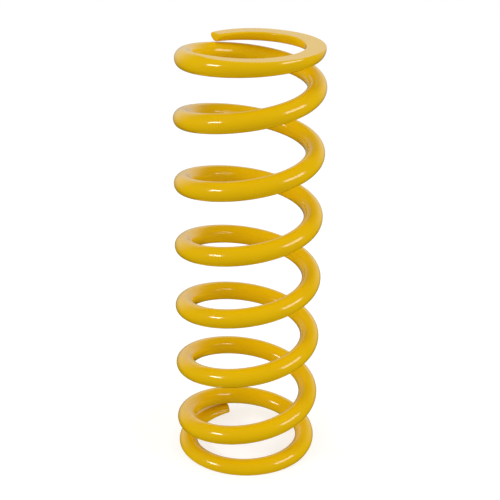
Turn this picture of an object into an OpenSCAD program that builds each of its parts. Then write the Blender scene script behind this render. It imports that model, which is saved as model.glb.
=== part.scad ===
// Closed and ground helical compression spring for a coil-over damper, wound right-handed.
// It is one length of wire. Its stretches are separate nodes, because each moves by its own
// share when the spring is pressed: four for each end coil, and quarter turns in between.
// Millimetres and degrees. +Z is the spring's axis, and Z = 0 is the lower ground seat.
// Along the wire a place is given in turns from the lower tip.

/* [Wire and coil] */
// Diameter of the coated wire
wire_d = 11; // [9:0.1:13.5]
// Inside diameter of the active coils
inner_d = 63.5; // [52:0.5:80]
// How much smaller across the closed end coils are wound, to grip their seats
end_draw_in = 2.5; // [0:0.1:3.5]
// Height over both ground seats with no load
free_length = 250; // [200:1:300]
// Turns of wire from tip to tip
total_turns = 8.04; // [6.6:0.01:9.7]
// Direction of the lower tip about the axis, from +X towards +Y
lower_tip_azimuth = 110; // [0:0.1:359.9]

/* [Closed and ground ends] */
// Turns at each end that stay still on their seat
end_turns = 1.14; // [1.1:0.01:1.4]
// Turns from each tip over which the wire lies almost level
level_turns = 0.16; // [0.1:0.01:0.3]
// Turns over which the wire then bends up to the pitch of the active coils
run_out_turns = 1.35; // [1.2:0.01:1.5]
// Turns from each tip that are wound to the smaller diameter
drawn_turns = 0.58; // [0.4:0.01:0.7]
// Turns over which the coil then grows to its full diameter
growth_turns = 1; // [0.8:0.01:1.1]
// Thickness of wire left at each tip by the grinding
tip_thickness = 5.5; // [4:0.1:6]
// Rise of the first turn beyond a wire diameter, which keeps the tip just clear of the next turn
tip_gap = 0.4; // [0.3:0.05:1]

/* [Hidden] */
wire_r = wire_d / 2;
coil_r = (inner_d + wire_d) / 2;
coat_colour = [0.86, 0.68, 0.0];

// Each end coil is four stretches, and the active wire is the nearest whole number of quarters
end_stretches = 4;
active_turns = total_turns - 2 * end_turns;
active_stretches = round(4 * active_turns);

lower_names = [for (i = [1:end_stretches]) str("lower_end_quarter_", i)];
active_names = [for (i = [0:active_stretches - 1])
    str("active_turn_", floor(i / 4) + 1, "_quarter_", i % 4 + 1)];
upper_names = [for (i = [1:end_stretches]) str("upper_end_quarter_", i)];

// Room past every stretch for the planes that trim it
trim = 2 * (coil_r + wire_d);
// Extra angle swept at both ends of an arc before it is trimmed
over_sweep = 6;
$fn = 96;

// Height gained t of the way through a smooth bend from level to a slope of one
function bend_rise(t) = t < 0 ? 0 : t < 1 ? pow(t, 3) - pow(t, 4) / 2 : t - 1 / 2;

// The wire's centre lies this far above the seat plane at each tip
tip_height = tip_thickness - wire_r;
wire_rise = free_length - 2 * tip_height;
// Turns that count in full towards the active pitch
sloped_turns = total_turns - 2 * level_turns - run_out_turns;
// Share of the active pitch that the first turn has already gained
first_turn_share = run_out_turns * bend_rise((1 - level_turns) / run_out_turns) / sloped_turns;
// Pitches in millimetres a turn, set so that the tip clears the turn beside it by tip_gap
// and the whole wire climbs the free length
end_pitch = (wire_d + tip_gap - wire_rise * first_turn_share) / (1 - total_turns * first_turn_share);
active_pitch = end_pitch + (wire_rise - end_pitch * total_turns) / sloped_turns;

function bends(turn) = run_out_turns * (bend_rise((turn - level_turns) / run_out_turns)
    - bend_rise((turn - total_turns + level_turns + run_out_turns) / run_out_turns));
function height(turn) = tip_height + end_pitch * turn + (active_pitch - end_pitch) * bends(turn);
function azimuth(turn) = lower_tip_azimuth + 360 * turn;

// How far the coil has still to grow, t of the way from its smaller to its full diameter
function growth_left(t) = t < 0 ? 1 : t < 1 ? 1 - 3 * pow(t, 2) + 2 * pow(t, 3) : 0;
function reach(turn) = coil_r - end_draw_in / 2 * (growth_left((turn - drawn_turns) / growth_turns)
    + growth_left((total_turns - turn - drawn_turns) / growth_turns));
// Centre of the wire, a given number of turns from the lower tip
function on_coil(turn) = [reach(turn) * cos(azimuth(turn)), reach(turn) * sin(azimuth(turn)), height(turn)];

// A flat circular arc of round wire through both ends of a stretch and the middle of its bow
module wire_arc(from_turn, to_turn) {
    start = on_coil(from_turn);
    stop = on_coil(to_turn);
    half_chord = norm(stop - start) / 2;
    along = (stop - start) / (2 * half_chord);
    to_middle = on_coil((from_turn + to_turn) / 2) - (start + stop) / 2;
    outward = to_middle - (to_middle * along) * along;
    bow = norm(outward);
    out = outward / bow;
    up = cross(out, along);
    arc_r = (pow(half_chord, 2) + pow(bow, 2)) / (2 * bow);
    half_sweep = atan2(half_chord, arc_r - bow) + over_sweep;
    centre = (start + stop) / 2 + (bow - arc_r) * out;
    multmatrix([
        [out[0], along[0], up[0], centre[0]],
        [out[1], along[1], up[1], centre[1]],
        [out[2], along[2], up[2], centre[2]],
        [0, 0, 0, 1]])
        rotate([0, 0, -half_sweep])
        rotate_extrude(angle = 2 * half_sweep)
        translate([arc_r, 0])
        circle(wire_r);
}

// The wedge about the axis that holds one stretch between its two end planes
module wedge(from_turn, to_turn) {
    turns = [from_turn, (from_turn + to_turn) / 2, to_turn];
    linear_extrude(2 * free_length, center = true)
        polygon(concat([[0, 0]], [for (t = turns) trim * [cos(azimuth(t)), sin(azimuth(t))]]));
}

// One stretch of wire, ground flat where it would pass either seat
module wire_stretch(from_turn, to_turn) {
    color(coat_colour)
    intersection() {
        wire_arc(from_turn, to_turn);
        wedge(from_turn, to_turn);
        translate([-trim, -trim, 0])
            cube([2 * trim, 2 * trim, free_length]);
    }
}

// Stretch number i of an end coil, counted from its tip
end_step = end_turns / end_stretches;
module lower_end_quarter(i) wire_stretch(i * end_step, (i + 1) * end_step);
module upper_end_quarter(i) wire_stretch(total_turns - (i + 1) * end_step, total_turns - i * end_step);

// Stretch number i of the active wire, counted upwards
active_step = active_turns / active_stretches;
module active_quarter(i) wire_stretch(end_turns + i * active_step, end_turns + (i + 1) * active_step);

for (i = [0:end_stretches - 1])
    lower_end_quarter(i);
for (i = [0:active_stretches - 1])
    active_quarter(i);
for (i = [0:end_stretches - 1])
    upper_end_quarter(i);
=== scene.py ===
# Studio scene for a yellow coil spring. One continuous wire stands for the 31 stretches of the frame.
import math

import bpy
import numpy as np
from mathutils import Matrix, Vector


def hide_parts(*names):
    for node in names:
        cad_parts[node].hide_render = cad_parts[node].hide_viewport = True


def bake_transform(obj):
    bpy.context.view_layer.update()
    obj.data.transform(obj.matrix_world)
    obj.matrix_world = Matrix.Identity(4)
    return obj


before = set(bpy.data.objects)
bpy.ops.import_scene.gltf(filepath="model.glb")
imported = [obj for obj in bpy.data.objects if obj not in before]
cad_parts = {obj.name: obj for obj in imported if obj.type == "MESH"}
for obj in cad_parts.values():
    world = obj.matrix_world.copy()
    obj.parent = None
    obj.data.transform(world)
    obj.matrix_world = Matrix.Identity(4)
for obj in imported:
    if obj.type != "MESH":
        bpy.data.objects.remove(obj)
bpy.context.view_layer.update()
print("frame loaded:", len(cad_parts), "nodes")


def hexColour(code):
    # sRGB hex to the linear values that a shader takes
    parts = [int(code[i:i + 2], 16) / 255 for i in (1, 3, 5)]
    linear = [c / 12.92 if c <= 0.04045 else ((c + 0.055) / 1.055) ** 2.4 for c in parts]
    return (*linear, 1.0)


def addNode(tree, kind, settings=None, inputs=None):
    # inputs are sockets or plain values, by place in a list or by name in a dictionary
    node = tree.nodes.new(kind)
    for name, value in (settings or {}).items():
        setattr(node, name, value)
    pairs = inputs.items() if isinstance(inputs, dict) else enumerate(inputs or [])
    for place, value in pairs:
        if isinstance(value, bpy.types.NodeSocket):
            tree.links.new(value, node.inputs[place])
        elif value is not None:
            node.inputs[place].default_value = value
    return node


powderCoat = {
    "yellow": "#EFC100",
    "deepYellow": "#E6B500",
    "ior": 1.5,
    "roughness": 0.14,
    "coat": 0.2,
    "coatRoughness": 0.05,
    "peelSize": 0.0022,  # orange peel is 2 to 3 mm across on a part this size
    "peelDepth": 0.000006,
    "grainSize": 0.00045,  # powder grain, drawn about three times coarser than the real 0.15 mm
    "grainDepth": 0.000002,
    "driftSize": 0.03,  # slow change of the yellow along the wire
    "grindLine": 0.0007,  # spacing of the lines that the stone leaves under the film on a seat
    "grindDepth": 0.000006,
    "grindAngle": 24.0,
    "grindStretch": 0.02,  # a line's width as a share of its length
}


def makePowderCoat(sizes):
    # Polyester powder coat, sprayed and baked on sprung steel: an even glossy film, about 0.1 mm
    # thick, with crisp window-like highlights that waver a little on its orange peel
    material = bpy.data.materials.new("glossyYellowPowderCoat")
    material.use_nodes = True
    tree = material.node_tree
    tree.nodes.clear()
    place = addNode(tree, "ShaderNodeAttribute", {"attribute_name": "restPlace"}).outputs["Vector"]
    seat = addNode(tree, "ShaderNodeAttribute", {"attribute_name": "groundSeat"}).outputs["Fac"]
    drift = addNode(tree, "ShaderNodeTexNoise", None,
                    {"Vector": place, "Scale": 1 / sizes["driftSize"], "Detail": 3.0})
    tint = addNode(tree, "ShaderNodeMix", {"data_type": "RGBA"},
                   {"Factor": drift.outputs["Fac"], "A": hexColour(sizes["deepYellow"]),
                    "B": hexColour(sizes["yellow"])})
    peel = addNode(tree, "ShaderNodeTexNoise", None,
                   {"Vector": place, "Scale": 1 / sizes["peelSize"], "Detail": 1.0})
    grain = addNode(tree, "ShaderNodeTexNoise", None,
                    {"Vector": place, "Scale": 1 / sizes["grainSize"], "Detail": 2.0})
    peelBump = addNode(tree, "ShaderNodeBump", None,
                       {"Height": peel.outputs["Fac"], "Distance": sizes["peelDepth"], "Strength": 1.0})
    grainBump = addNode(tree, "ShaderNodeBump", None,
                        {"Height": grain.outputs["Fac"], "Distance": sizes["grainDepth"],
                         "Normal": peelBump.outputs["Normal"], "Strength": 1.0})
    stretch = addNode(tree, "ShaderNodeMapping", None,
                      {"Vector": place, "Rotation": (0, 0, math.radians(sizes["grindAngle"])),
                       "Scale": (1.0, sizes["grindStretch"], 1.0)})
    grind = addNode(tree, "ShaderNodeTexNoise", None,
                    {"Vector": stretch.outputs["Vector"], "Scale": 1 / sizes["grindLine"], "Detail": 2.0})
    grindBump = addNode(tree, "ShaderNodeBump", None,
                        {"Height": grind.outputs["Fac"], "Distance": sizes["grindDepth"],
                         "Strength": seat, "Normal": grainBump.outputs["Normal"]})
    shader = addNode(tree, "ShaderNodeBsdfPrincipled", None,
                     {"Base Color": tint.outputs["Result"], "Roughness": sizes["roughness"],
                      "IOR": sizes["ior"], "Coat Weight": sizes["coat"],
                      "Coat Roughness": sizes["coatRoughness"], "Normal": grindBump.outputs["Normal"]})
    addNode(tree, "ShaderNodeOutputMaterial", None, {"Surface": shader.outputs["BSDF"]})
    return material


springWire = {
    "wireD": 0.011,
    "innerD": 0.0635,  # of the active coils
    "freeLength": 0.25,
    "totalTurns": 8.04,
    "lowerTipAngle": 110.0,
    "endTurns": 1.14,  # stay still on their seat, at each end
    "levelTurns": 0.16,  # almost level, from each tip
    "runOutTurns": 1.35,  # bend up to the pitch of the active coils
    "tipThickness": 0.0055,
    "tipGap": 0.0004,
    "endDrawIn": 0.0025,  # how much smaller across the end coils are wound
    "drawnTurns": 0.58,  # wound to the smaller size, from each tip
    "growthTurns": 1.0,  # over which the coil grows to its full size
    "edgeRounding": 0.00075,  # the film draws back and rounds over the sharp ground edges
    "tipRelief": 0.0009,  # both tips are dressed off after grinding, so that they don't dig in
    "tipRounding": 0.0006,  # added to the edge rounding at the tips
    "dressedTurns": 0.13,
    "stationsPerTurn": 120,  # rings of points along the wire
    "columns": 60,  # round the section, twice the last of sectionRows
    "weldGap": 0.000001,  # points closer than this are merged, along the seam and on the tip faces
}


def bendRise(t):
    # height gained t of the way through a smooth bend from level to a slope of one
    if t < 0:
        return 0
    return t ** 3 - t ** 4 / 2 if t < 1 else t - 0.5


def wireInputs(wire, finish):
    # the sizes that the tree takes, in metres and radians, with both pitches worked out from them
    tipHeight = wire["tipThickness"] - wire["wireD"] / 2
    rise = wire["freeLength"] - 2 * tipHeight
    slopedTurns = wire["totalTurns"] - 2 * wire["levelTurns"] - wire["runOutTurns"]
    firstBend = bendRise((1 - wire["levelTurns"]) / wire["runOutTurns"])
    firstTurnShare = wire["runOutTurns"] * firstBend / slopedTurns
    endPitch = wire["wireD"] + wire["tipGap"] - rise * firstTurnShare
    endPitch /= 1 - wire["totalTurns"] * firstTurnShare
    activePitch = endPitch + (rise - endPitch * wire["totalTurns"]) / slopedTurns
    return {
        "Wire radius": wire["wireD"] / 2,
        "Coil radius": (wire["innerD"] + wire["wireD"]) / 2,
        "Free length": wire["freeLength"],
        "Total turns": wire["totalTurns"],
        "End turns": wire["endTurns"],
        "Level turns": wire["levelTurns"],
        "Run-out turns": wire["runOutTurns"],
        "End pitch": endPitch,
        "Active pitch": activePitch,
        "Tip height": tipHeight,
        "End draw-in": wire["endDrawIn"],
        "Drawn turns": wire["drawnTurns"],
        "Growth turns": wire["growthTurns"],
        "Lower tip angle": math.radians(wire["lowerTipAngle"]),
        "Edge rounding": wire["edgeRounding"],
        "Tip relief": wire["tipRelief"],
        "Tip rounding": wire["tipRounding"],
        "Dressed turns": wire["dressedTurns"],
        "Stations": round(wire["totalTurns"] * wire["stationsPerTurn"]),
        "Columns": wire["columns"],
        "Weld gap": wire["weldGap"],
        "Finish": finish,
    }


# The first stations at each end make the tip face, and the next ones the rounding of its edge
faceInset = 0.88  # reach of the face's second ring, as a share of the whole face
faceStations = 2
edgeStations = 5
tipStations = faceStations + edgeStations
leastCut = 0.000003  # a plane that is clear of the wire is taken to touch it by this much

# Rows of half a section, from its bottom to its top, where the flats, their edges and the side part
sectionRows = (0, 3, 8, 22, 27, 30)
quarterTurn = math.pi / 2
flatKnot = math.radians(72)  # where they part on a round section, up and down from its middle
edgeKnot = math.radians(42)

# Formula steps, each a name, an operation and its terms. A term is a number, an input or an
# earlier step.
stationSteps = [
    # station along the wire, and row round its section
    ("ring", "ADD", "Columns", 1),
    ("stationRaw", "DIVIDE", "Index", "ring"),
    ("station", "FLOOR", "stationRaw"),
    ("column", "MODULO", "Index", "ring"),
    ("last", "SUBTRACT", "Stations", 1),
    ("fromUpper", "SUBTRACT", "last", "station"),
    ("fromTip", "MINIMUM", "station", "fromUpper"),
    ("upperness", "SUBTRACT", "station", "fromUpper"),
    ("side", "SIGN", "upperness"),
    # the tip face first, then the stations that round its edge over
    ("faceRaw", "MULTIPLY", "fromTip", faceInset),
    ("faceShare", "MINIMUM", "faceRaw", 1),
    ("edgeRaw", "SUBTRACT", "fromTip", faceStations),
    ("edgePart", "DIVIDE", "edgeRaw", edgeStations),
    ("edgeMin", "MAXIMUM", "edgePart", 0),
    ("edgeShare", "MINIMUM", "edgeMin", 1),
    ("edgeTurn", "MULTIPLY", "edgeShare", quarterTurn),
    ("edgeSin", "SINE", "edgeTurn"),
    ("edgeCos", "COSINE", "edgeTurn"),
    ("setBack", "MULTIPLY", "Edge rounding", "edgeCos"),
    # turns from the lower tip
    ("girth", "MULTIPLY", "Coil radius", 2 * math.pi),
    ("roundTurns", "DIVIDE", "Edge rounding", "girth"),
    ("bodyRaw", "SUBTRACT", "station", tipStations),
    ("bodyLast", "SUBTRACT", "last", 2 * tipStations),
    ("bodyShare", "DIVIDE", "bodyRaw", "bodyLast"),
    ("bodyMin", "MAXIMUM", "bodyShare", 0),
    ("bodyClamp", "MINIMUM", "bodyMin", 1),
    ("twoRounds", "MULTIPLY", "roundTurns", 2),
    ("bodyTurns", "SUBTRACT", "Total turns", "twoRounds"),
    ("bodyTurn", "MULTIPLY_ADD", "bodyClamp", "bodyTurns", "roundTurns"),
    ("setBackTurns", "DIVIDE", "setBack", "girth"),
    ("turn", "MULTIPLY_ADD", "setBackTurns", "side", "bodyTurn"),
    ("upperTurn", "SUBTRACT", "Total turns", "turn"),
    # near both tips the flat falls away and its edges round over more
    ("tipTurn", "MINIMUM", "turn", "upperTurn"),
    ("tipFar", "DIVIDE", "tipTurn", "Dressed turns"),
    ("tipNear", "SUBTRACT", 1, "tipFar"),
    ("tipMin", "MAXIMUM", "tipNear", 0),
    ("dressed", "MULTIPLY", "tipMin", "tipMin"),
    ("relief", "MULTIPLY", "dressed", "Tip relief"),
    ("rounding", "MULTIPLY_ADD", "dressed", "Tip rounding", "Edge rounding"),
    ("skin", "MULTIPLY", "rounding", "edgeSin"),
    # height of the wire's centre: level, a smooth bend, the active pitch, and the same at the top
    ("lowerRaw", "SUBTRACT", "turn", "Level turns"),
    ("lowerBend", "DIVIDE", "lowerRaw", "Run-out turns"),
    ("upperStart", "SUBTRACT", "Total turns", "Level turns"),
    ("upperFrom", "SUBTRACT", "upperStart", "Run-out turns"),
    ("upperRaw", "SUBTRACT", "turn", "upperFrom"),
    ("upperBend", "DIVIDE", "upperRaw", "Run-out turns"),
]

ends = ("lower", "upper")
for end in ends:
    stationSteps += [
        (end + "Pos", "MAXIMUM", end + "Bend", 0),
        (end + "In", "MINIMUM", end + "Pos", 1),
        (end + "Past", "SUBTRACT", end + "Pos", end + "In"),
        (end + "Sq", "MULTIPLY", end + "In", end + "In"),
        (end + "Cube", "MULTIPLY", end + "Sq", end + "In"),
        (end + "Half", "MULTIPLY_ADD", end + "In", -0.5, 1),
        (end + "Rise", "MULTIPLY_ADD", end + "Cube", end + "Half", end + "Past"),
        (end + "Ease", "MULTIPLY_ADD", end + "In", -2, 3),
        (end + "Slope", "MULTIPLY", end + "Sq", end + "Ease"),
    ]

stationSteps += [
    ("pitchGain", "SUBTRACT", "Active pitch", "End pitch"),
    ("netRise", "SUBTRACT", "lowerRise", "upperRise"),
    ("bends", "MULTIPLY", "netRise", "Run-out turns"),
    ("levelClimb", "MULTIPLY_ADD", "turn", "End pitch", "Tip height"),
    ("height", "MULTIPLY_ADD", "bends", "pitchGain", "levelClimb"),
    ("netSlope", "SUBTRACT", "lowerSlope", "upperSlope"),
    ("pitch", "MULTIPLY_ADD", "netSlope", "pitchGain", "End pitch"),
    ("climb", "ARCTAN2", "pitch", "girth"),
    ("climbSin", "SINE", "climb"),
    ("climbCos", "COSINE", "climb"),
    ("angle", "MULTIPLY_ADD", "turn", 2 * math.pi, "Lower tip angle"),
    ("angleSin", "SINE", "angle"),
    ("angleCos", "COSINE", "angle"),
    # the coil's radius, smaller at both ends
    ("lowerGrown", "SUBTRACT", "turn", "Drawn turns"),
    ("upperGrown", "SUBTRACT", "upperTurn", "Drawn turns"),
]

for end in ends:
    stationSteps += [
        (end + "GrowRaw", "DIVIDE", end + "Grown", "Growth turns"),
        (end + "GrowMin", "MAXIMUM", end + "GrowRaw", 0),
        (end + "GrowIn", "MINIMUM", end + "GrowMin", 1),
        (end + "GrowSq", "MULTIPLY", end + "GrowIn", end + "GrowIn"),
        (end + "GrowEase", "MULTIPLY_ADD", end + "GrowIn", -2, 3),
        (end + "Growth", "MULTIPLY", end + "GrowSq", end + "GrowEase"),
    ]

stationSteps += [
    ("growths", "ADD", "lowerGrowth", "upperGrowth"),
    ("smaller", "SUBTRACT", 2, "growths"),
    ("halfDrawIn", "MULTIPLY", "End draw-in", -0.5),
    ("localRadius", "MULTIPLY_ADD", "smaller", "halfDrawIn", "Coil radius"),
    # share of the closing: none on the lower end coil, all on the upper, even in between
    ("activeTurns", "MULTIPLY_ADD", "End turns", -2, "Total turns"),
    ("pastEnd", "SUBTRACT", "turn", "End turns"),
    ("shareRaw", "DIVIDE", "pastEnd", "activeTurns"),
    ("shareMin", "MAXIMUM", "shareRaw", 0),
    ("closing", "MINIMUM", "shareMin", 1),
    # distance from the centre to either grinding plane, measured across the wire
    ("aboveLower", "SUBTRACT", "height", "relief"),
    ("lowerPlane", "DIVIDE", "aboveLower", "climbCos"),
    ("toUpper", "SUBTRACT", "Free length", "height"),
    ("belowUpper", "SUBTRACT", "toUpper", "relief"),
    ("upperPlane", "DIVIDE", "belowUpper", "climbCos"),
    ("core", "SUBTRACT", "Wire radius", "rounding"),
    ("fullCut", "SUBTRACT", "Wire radius", leastCut),
]

for end in ends:
    stationSteps += [
        (end + "Cut", "MINIMUM", end + "Plane", "fullCut"),
        (end + "Edge", "SUBTRACT", "rounding", end + "Cut"),
        (end + "EdgeSin", "DIVIDE", end + "Edge", "core"),
        (end + "Corner", "ARCSINE", end + "EdgeSin"),
        (end + "CornerCos", "COSINE", end + "Corner"),
        (end + "EdgeX", "MULTIPLY", end + "CornerCos", "core"),
        # 1 where the wire is ground, easing to 0 three wire radii from the plane
        (end + "Near", "DIVIDE", end + "Plane", "Wire radius"),
        (end + "Gap", "MULTIPLY_ADD", end + "Near", -0.5, 1.5),
        (end + "GapMin", "MAXIMUM", end + "Gap", 0),
        (end + "GapIn", "MINIMUM", end + "GapMin", 1),
        (end + "GapSq", "MULTIPLY", end + "GapIn", end + "GapIn"),
        (end + "GapEase", "MULTIPLY_ADD", end + "GapIn", -2, 3),
        (end + "Ground", "MULTIPLY", end + "GapSq", end + "GapEase"),
    ]

sectionSteps = [
    # row of the half section, and which side of it the column is on
    ("halfColumns", "DIVIDE", "Columns", 2),
    ("fromMiddle", "SUBTRACT", "column", "halfColumns"),
    ("offMiddle", "ABSOLUTE", "fromMiddle"),
    ("row", "SUBTRACT", "halfColumns", "offMiddle"),
    ("outward", "MULTIPLY", "fromMiddle", -1),
    ("mirror", "SIGN", "outward"),
    # angle at each of the four knots: it slides to the corner of the flat where the wire is ground
    ("upperCornerUp", "MULTIPLY", "upperCorner", -1),
    ("knot1", "MULTIPLY_ADD", "lowerGround", flatKnot - quarterTurn, -flatKnot),
    ("knot2Gain", "SUBTRACT", "lowerCorner", -edgeKnot),
    ("knot2", "MULTIPLY_ADD", "lowerGround", "knot2Gain", -edgeKnot),
    ("knot3Gain", "SUBTRACT", "upperCornerUp", edgeKnot),
    ("knot3", "MULTIPLY_ADD", "upperGround", "knot3Gain", edgeKnot),
    ("knot4", "MULTIPLY_ADD", "upperGround", quarterTurn - flatKnot, flatKnot),
]

knots = (-quarterTurn, "knot1", "knot2", "knot3", "knot4", quarterTurn)
angleSoFar = -quarterTurn
for i in range(len(knots) - 1):
    k = str(i + 1)
    sectionSteps += [
        ("span" + k, "SUBTRACT", knots[i + 1], knots[i]),
        ("from" + k, "SUBTRACT", "row", sectionRows[i]),
        ("part" + k, "DIVIDE", "from" + k, sectionRows[i + 1] - sectionRows[i]),
        ("partMin" + k, "MAXIMUM", "part" + k, 0),
        ("partIn" + k, "MINIMUM", "partMin" + k, 1),
        ("angle" + k, "MULTIPLY_ADD", "partIn" + k, "span" + k, angleSoFar),
    ]
    angleSoFar = "angle" + k

sectionSteps += [
    ("sectionCos", "COSINE", angleSoFar),
    ("sectionSin", "SINE", angleSoFar),
    # the skin rolls on the core, or on a corner of it where the plane has cut the core
    ("pastLower", "LESS_THAN", angleSoFar, "lowerCorner"),
    ("pastUpper", "GREATER_THAN", angleSoFar, "upperCornerUp"),
    ("lowerLeft", "SUBTRACT", 1, "partIn1"),
    ("lowerFlat", "MULTIPLY", "lowerLeft", "lowerLeft"),
    ("lowerWidth", "SUBTRACT", 1, "lowerFlat"),
    ("upperFlat", "MULTIPLY", "partIn5", "partIn5"),
    ("upperWidth", "SUBTRACT", 1, "upperFlat"),
    ("lowerX", "MULTIPLY", "lowerEdgeX", "lowerWidth"),
    ("upperX", "MULTIPLY", "upperEdgeX", "upperWidth"),
    ("coreX", "MULTIPLY", "sectionCos", "core"),
    ("coreY", "MULTIPLY", "sectionSin", "core"),
    ("upperY", "MULTIPLY", "upperEdge", -1),
    ("toLowerX", "SUBTRACT", "lowerX", "coreX"),
    ("toLowerY", "SUBTRACT", "lowerEdge", "coreY"),
    ("toUpperX", "SUBTRACT", "upperX", "coreX"),
    ("toUpperY", "SUBTRACT", "upperY", "coreY"),
    ("x1", "MULTIPLY_ADD", "toLowerX", "pastLower", "coreX"),
    ("y1", "MULTIPLY_ADD", "toLowerY", "pastLower", "coreY"),
    ("x2", "MULTIPLY_ADD", "toUpperX", "pastUpper", "x1"),
    ("y2", "MULTIPLY_ADD", "toUpperY", "pastUpper", "y1"),
    ("x3", "MULTIPLY_ADD", "sectionCos", "skin", "x2"),
    ("y3", "MULTIPLY_ADD", "sectionSin", "skin", "y2"),
    # the tip face closes on the middle of its section
    ("cutDiff", "SUBTRACT", "upperCut", "lowerCut"),
    ("faceY", "MULTIPLY", "cutDiff", 0.5),
    ("offFace", "SUBTRACT", "y3", "faceY"),
    ("across", "MULTIPLY_ADD", "offFace", "faceShare", "faceY"),
    ("x4", "MULTIPLY", "x3", "faceShare"),
    ("along", "MULTIPLY", "x4", "mirror"),
    # into the frame: out from the axis, and up across the wire's slope
    ("reach", "ADD", "localRadius", "along"),
    ("lean", "MULTIPLY", "across", "climbSin"),
    ("reachX", "MULTIPLY", "reach", "angleCos"),
    ("placeX", "MULTIPLY_ADD", "lean", "angleSin", "reachX"),
    ("reachY", "MULTIPLY", "reach", "angleSin"),
    ("leanBack", "MULTIPLY", "lean", -1),
    ("placeY", "MULTIPLY_ADD", "leanBack", "angleCos", "reachY"),
    ("placeZ", "MULTIPLY_ADD", "across", "climbCos", "height"),
    # which faces are ground seats, for the lines that the stone leaves
    ("lowerFlatOn", "MULTIPLY", "lowerGround", "lowerFlat"),
    ("upperFlatOn", "MULTIPLY", "upperGround", "upperFlat"),
    ("groundSeat", "MAXIMUM", "lowerFlatOn", "upperFlatOn"),
]


def makeWireTree(inputs):
    tree = bpy.data.node_groups.new("springWire", "GeometryNodeTree")
    kinds = {int: "NodeSocketInt", float: "NodeSocketFloat"}
    for name, value in inputs.items():
        kind = kinds.get(type(value), "NodeSocketMaterial")
        tree.interface.new_socket(name, in_out="INPUT", socket_type=kind)
    tree.interface.new_socket("Geometry", in_out="OUTPUT", socket_type="NodeSocketGeometry")
    sizes = addNode(tree, "NodeGroupInput").outputs
    terms = {name: sizes[name] for name in inputs}
    terms["Index"] = addNode(tree, "GeometryNodeInputIndex").outputs["Index"]
    for name, operation, *values in stationSteps + sectionSteps:
        values = [terms.get(value, value) for value in values]
        step = addNode(tree, "ShaderNodeMath", {"operation": operation}, values)
        terms[name] = step.outputs["Value"]
    grid = addNode(tree, "GeometryNodeMeshGrid", None,
                   {"Vertices X": sizes["Stations"], "Vertices Y": terms["ring"]})
    place = addNode(tree, "ShaderNodeCombineXYZ", None,
                    [terms["placeX"], terms["placeY"], terms["placeZ"]]).outputs["Vector"]
    # attributes are stored before the points move or merge, while the index still says where each is
    shape = grid.outputs["Mesh"]
    for name, kind, value in (("closingShare", "FLOAT", terms["closing"]),
                              ("groundSeat", "FLOAT", terms["groundSeat"]),
                              ("restPlace", "FLOAT_VECTOR", place)):
        shape = addNode(tree, "GeometryNodeStoreNamedAttribute", {"data_type": kind, "domain": "POINT"},
                        {"Geometry": shape, "Name": name, "Value": value}).outputs["Geometry"]
    shape = addNode(tree, "GeometryNodeSetPosition", None,
                    {"Geometry": shape, "Position": place}).outputs[0]
    shape = addNode(tree, "GeometryNodeMergeByDistance", None,
                    {"Geometry": shape, "Distance": sizes["Weld gap"]}).outputs[0]
    shape = addNode(tree, "GeometryNodeSetShadeSmooth", None, {"Geometry": shape}).outputs[0]
    shape = addNode(tree, "GeometryNodeRealizeInstances", None, {"Geometry": shape}).outputs[0]
    shape = addNode(tree, "GeometryNodeSetMaterial", None,
                    {"Geometry": shape, "Material": sizes["Finish"]}).outputs[0]
    addNode(tree, "NodeGroupOutput", None, {"Geometry": shape})
    return tree


def makeSpringWire(wire, finish):
    inputs = wireInputs(wire, finish)
    tree = makeWireTree(inputs)
    carrier = bpy.data.objects.new("wireCarrier", bpy.data.meshes.new("wireCarrier"))
    bpy.context.scene.collection.objects.link(carrier)
    modifier = carrier.modifiers.new("springWire", "NODES")
    modifier.node_group = tree
    for item in tree.interface.items_tree:
        if item.in_out == "INPUT":
            modifier[item.identifier] = inputs[item.name]
    bpy.context.view_layer.update()
    shaped = carrier.evaluated_get(bpy.context.evaluated_depsgraph_get())
    mesh = bpy.data.meshes.new_from_object(shaped)
    mesh.name = "springWire"
    carrier.modifiers.remove(modifier)
    bpy.data.objects.remove(carrier)
    piece = bpy.data.objects.new("spring_wire", mesh)
    bpy.context.scene.collection.objects.link(piece)
    print("spring wire:", len(mesh.vertices), "vertices,", len(mesh.polygons), "faces")
    return piece


finish = makePowderCoat(powderCoat)
springPiece = makeSpringWire(springWire, finish)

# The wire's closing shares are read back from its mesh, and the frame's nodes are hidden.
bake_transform(springPiece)
closing = np.zeros(len(springPiece.data.vertices), np.float32)
springPiece.data.attributes["closingShare"].data.foreach_get("value", closing)
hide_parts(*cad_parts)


studio = {
    "floorColour": "#ACACAB",
    "floorRoughness": 0.9,
    "floorSpecular": 0.1,
    "floorWidth": 6.0,
    "floorGlow": 0.66,  # lifts the floor to white, as a lit table would
    "backdropSeen": 0.98,  # what the camera sees above the floor
    "softLight": 0.86,  # even light from all round, weaker from below and from the front
    # smooth changes of the light with its direction: an axis, where it starts and stops, and its shares
    "fades": {
        "wall": ("Y", 0.3, 0.95, 0.0, 0.72),  # the gloss shows a pale wall behind, a dark room in front
        "aboveFloor": ("Z", -0.5, 0.15, 0.0, 1.0),
        "underCeiling": ("Z", 0.32, 0.68, 1.0, 0.0),
        "fromBelow": ("Z", -0.6, 0.3, 0.85, 1.0),  # the last two shape the soft light
        "fromFront": ("Y", -1.0, 0.0, 0.6, 1.0),
    },
    "viewElevation": 23.1,  # camera angles are in degrees
    "distance": 0.6883,
    "lens": 84.87,
    "sensorWidth": 36,
    "roll": 0.66,
    "sideStep": 0.00106,  # where the camera looks, off the middle of the spring
    "upStep": 0.00346,
}

softboxes = [
    # name, place, width and height, watts
    ("keyLeft", (-1.18, -0.69, 0.74), (0.46, 0.22), 6.5),
    ("sideRight", (1.25, -0.55, 0.74), (0.9, 0.5), 7),
]


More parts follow.
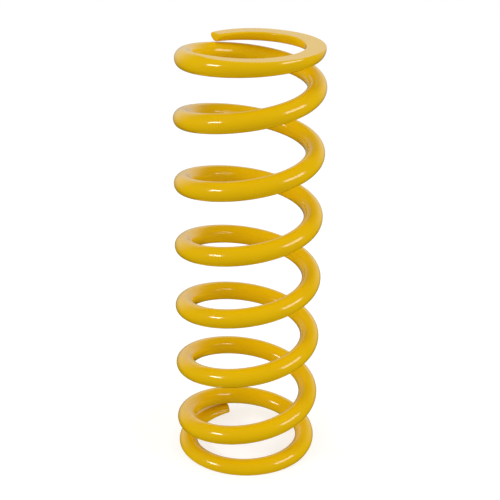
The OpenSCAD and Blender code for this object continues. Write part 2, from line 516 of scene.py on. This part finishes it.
def makeFloor(settings):
    half = settings["floorWidth"] / 2
    mesh = bpy.data.meshes.new("studioFloor")
    corners = [(-half, -half, 0), (half, -half, 0), (half, half, 0), (-half, half, 0)]
    mesh.from_pydata(corners, [], [(0, 1, 2, 3)])
    material = bpy.data.materials.new("mattePaleFloor")
    material.use_nodes = True
    shader = material.node_tree.nodes["Principled BSDF"]
    shader.inputs["Base Color"].default_value = hexColour(settings["floorColour"])
    shader.inputs["Roughness"].default_value = settings["floorRoughness"]
    shader.inputs["Specular IOR Level"].default_value = settings["floorSpecular"]
    shader.inputs["Emission Color"].default_value = (1, 1, 1, 1)
    shader.inputs["Emission Strength"].default_value = settings["floorGlow"]
    mesh.materials.append(material)
    floor = bpy.data.objects.new("studio_floor", mesh)
    bpy.context.scene.collection.objects.link(floor)
    floor.visible_diffuse = False  # the spring takes its light from the room and not from the floor
    floor.visible_glossy = False


def makeSoftbox(name, place, size, watts):
    light = bpy.data.lights.new(name, "AREA")
    light.shape = "RECTANGLE"
    light.size, light.size_y = size
    light.energy = watts
    lamp = bpy.data.objects.new(name, light)
    lamp.location = place
    toward = Vector((0, 0, springWire["freeLength"] / 2)) - lamp.location
    lamp.rotation_euler = toward.to_track_quat("-Z", "Y").to_euler()
    bpy.context.scene.collection.objects.link(lamp)


def makeWorld(settings):
    world = bpy.data.worlds.new("paleStudio")
    bpy.context.scene.world = world
    world.use_nodes = True
    tree = world.node_tree
    tree.nodes.clear()
    direction = addNode(tree, "ShaderNodeTexCoord").outputs["Generated"]
    parts = addNode(tree, "ShaderNodeSeparateXYZ", None, [direction])
    light = {}
    for name, (axis, start, stop, low, high) in settings["fades"].items():
        fade = addNode(tree, "ShaderNodeMapRange", {"interpolation_type": "SMOOTHSTEP"},
                       {"Value": parts.outputs[axis], "From Min": start, "From Max": stop,
                        "To Min": low, "To Max": high})
        light[name] = fade.outputs["Result"]
    products = (("band", "aboveFloor", "underCeiling"), ("mirrored", "wall", "band"),
                ("evenness", "fromBelow", "fromFront"), ("soft", "evenness", settings["softLight"]))
    for name, *factors in products:
        factors = [light.get(factor, factor) for factor in factors]
        product = addNode(tree, "ShaderNodeMath", {"operation": "MULTIPLY"}, factors)
        light[name] = product.outputs["Value"]
    rays = addNode(tree, "ShaderNodeLightPath").outputs
    lit = addNode(tree, "ShaderNodeMix", {"data_type": "FLOAT"},
                  {"Factor": rays["Is Glossy Ray"], "A": light["soft"], "B": light["mirrored"]})
    strength = addNode(tree, "ShaderNodeMix", {"data_type": "FLOAT"},
                       {"Factor": rays["Is Camera Ray"], "A": lit.outputs["Result"],
                        "B": settings["backdropSeen"]})
    background = addNode(tree, "ShaderNodeBackground", None,
                         {"Color": (1, 1, 1, 1), "Strength": strength.outputs["Result"]})
    addNode(tree, "ShaderNodeOutputWorld", None, {"Surface": background.outputs["Background"]})


def makeCamera(settings):
    camera = bpy.data.cameras.new("studioCamera")
    camera.lens = settings["lens"]
    camera.sensor_width = settings["sensorWidth"]
    holder = bpy.data.objects.new("studioCamera", camera)
    elevation = math.radians(settings["viewElevation"])
    lookAt = Vector((settings["sideStep"], 0, springWire["freeLength"] / 2 + settings["upStep"]))
    forward = Vector((0, math.cos(elevation), -math.sin(elevation)))
    holder.location = lookAt - settings["distance"] * forward
    tilt = Matrix.Rotation(math.pi / 2 - elevation, 3, "X")
    roll = Matrix.Rotation(math.radians(settings["roll"]), 3, "Z")
    holder.rotation_euler = (tilt @ roll).to_euler()
    bpy.context.scene.collection.objects.link(holder)
    bpy.context.scene.camera = holder


makeFloor(studio)
for box in softboxes:
    makeSoftbox(*box)
makeWorld(studio)
makeCamera(studio)
bpy.context.scene.view_settings.view_transform = "Standard"
print("studio ready")
